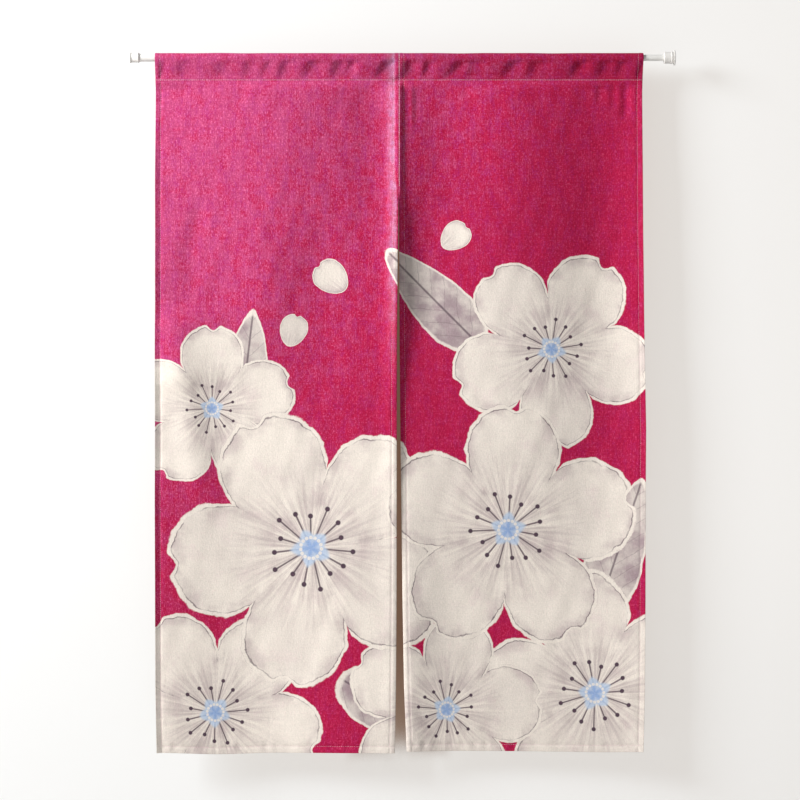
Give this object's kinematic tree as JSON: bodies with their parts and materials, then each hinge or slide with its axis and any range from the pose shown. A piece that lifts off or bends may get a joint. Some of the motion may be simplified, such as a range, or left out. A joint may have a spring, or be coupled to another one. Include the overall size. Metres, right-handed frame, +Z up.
{
  "type": "noren curtain on a tension rod",
  "caption": "Split doorway curtain of two hemmed cloth panels, sewn together at the top, with a pocket that a white telescopic rod runs through.",
  "frame": {"origin": "on the rod's axis, right above the seam between the two panels", "axes": "+X runs along the rod to the right as seen from the front, the curtain's front faces -Y, and +Z is up"},
  "size_m": [0.9343, 0.0269, 1.2062],
  "materials": {
    "cloth": "printed linen and cotton plain weave with slubs, matte",
    "rod_paint": "smooth white paint on steel tube",
    "cap_plastic": "white moulded plastic, slightly glossy",
    "foot_rubber": "pale soft rubber, matte"
  },
  "bodies": {
    "root": {"left_panel": "cloth", "right_panel": "cloth", "outer_tube": "rod_paint", "inner_tube": "rod_paint", "left_cap": "cap_plastic", "right_cap": "cap_plastic", "left_foot": "foot_rubber", "right_foot": "foot_rubber"}
  },
  "joints": []
}
